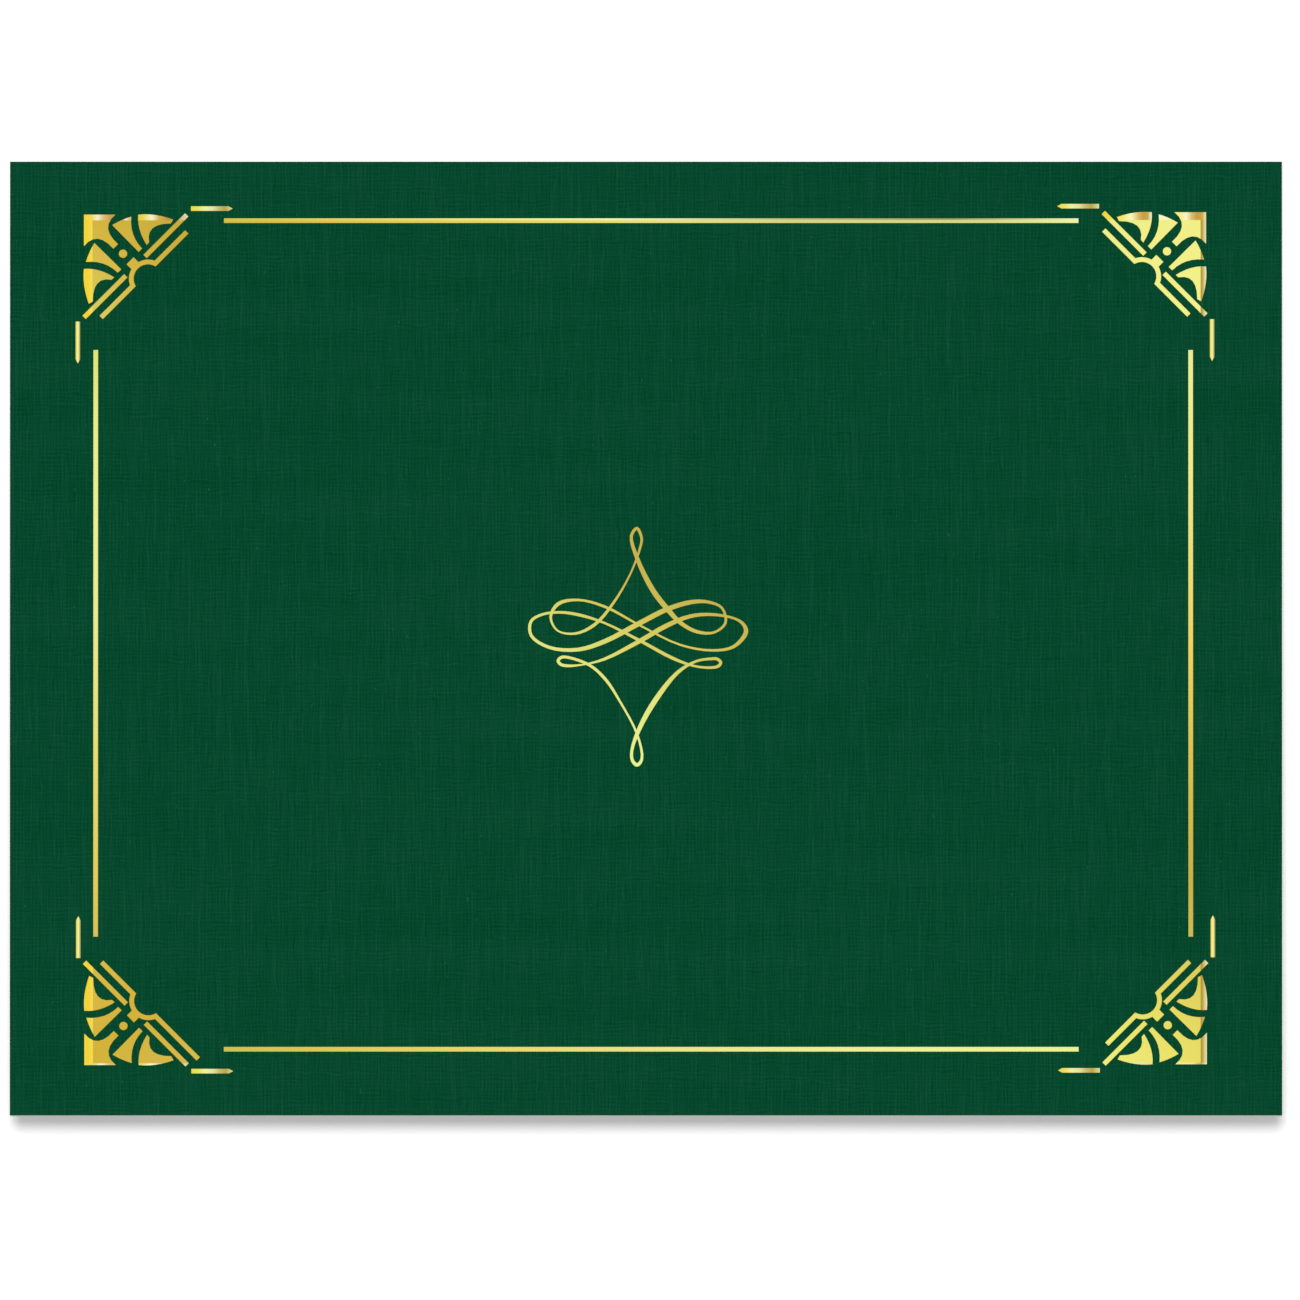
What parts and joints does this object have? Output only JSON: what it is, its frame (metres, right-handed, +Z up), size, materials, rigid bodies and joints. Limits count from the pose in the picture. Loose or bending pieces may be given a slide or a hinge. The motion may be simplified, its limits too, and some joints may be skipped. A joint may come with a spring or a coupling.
{
  "type": "diploma cover",
  "caption": "Landscape diploma cover: a linen card sheet folded along its top edge, with a gold foil border, corner fans and a pen flourish. It opens to hold a letter-size sheet.",
  "frame": {"origin": "middle of the back leaf's underside, on the surface that the closed cover lies on", "axes": "+X to the right along the fold as the front is read, +Y towards the fold at the top edge, +Z up out of the front leaf"},
  "size_m": [0.3174, 0.238, 0.0064],
  "materials": {
    "linen_card": "linen-embossed, dyed through, matt",
    "gold_foil": "hot-stamped metallic film, bright"
  },
  "bodies": {
    "back": {"back_leaf": "linen_card"},
    "front": {"front_leaf": "linen_card", "rule_top": "gold_foil", "rule_bottom": "gold_foil", "rule_left": "gold_foil", "rule_right": "gold_foil", "top_left_tile": "gold_foil", "top_left_petal_across": "gold_foil", "top_left_petal_down": "gold_foil", "top_left_plume_across": "gold_foil", "top_left_plume_down": "gold_foil", "top_left_dot": "gold_foil", "top_left_bar_across": "gold_foil", "top_left_bar_down": "gold_foil", "top_left_bracket": "gold_foil", "top_left_dash_across": "gold_foil", "top_left_dash_down": "gold_foil", "top_right_tile": "gold_foil", "top_right_petal_across": "gold_foil", "top_right_petal_down": "gold_foil", "top_right_plume_across": "gold_foil", "top_right_plume_down": "gold_foil", "top_right_dot": "gold_foil", "top_right_bar_across": "gold_foil", "top_right_bar_down": "gold_foil", "top_right_bracket": "gold_foil", "top_right_dash_across": "gold_foil", "top_right_dash_down": "gold_foil", "bottom_left_tile": "gold_foil", "bottom_left_petal_across": "gold_foil", "bottom_left_petal_down": "gold_foil", "bottom_left_plume_across": "gold_foil", "bottom_left_plume_down": "gold_foil", "bottom_left_dot": "gold_foil", "bottom_left_bar_across": "gold_foil", "bottom_left_bar_down": "gold_foil", "bottom_left_bracket": "gold_foil", "bottom_left_dash_across": "gold_foil", "bottom_left_dash_down": "gold_foil", "bottom_right_tile": "gold_foil", "bottom_right_petal_across": "gold_foil", "bottom_right_petal_down": "gold_foil", "bottom_right_plume_across": "gold_foil", "bottom_right_plume_down": "gold_foil", "bottom_right_dot": "gold_foil", "bottom_right_bar_across": "gold_foil", "bottom_right_bar_down": "gold_foil", "bottom_right_bracket": "gold_foil", "bottom_right_dash_across": "gold_foil", "bottom_right_dash_down": "gold_foil", "flourish": "gold_foil"}
  },
  "joints": [
    {"name": "front_leaf_fold", "type": "hinge", "parent": "back", "child": "front", "pos_m": [0, 0.11905, 0.0005], "axis": [-1, 0, 0], "range_deg": [0, 178.7]}
  ]
}
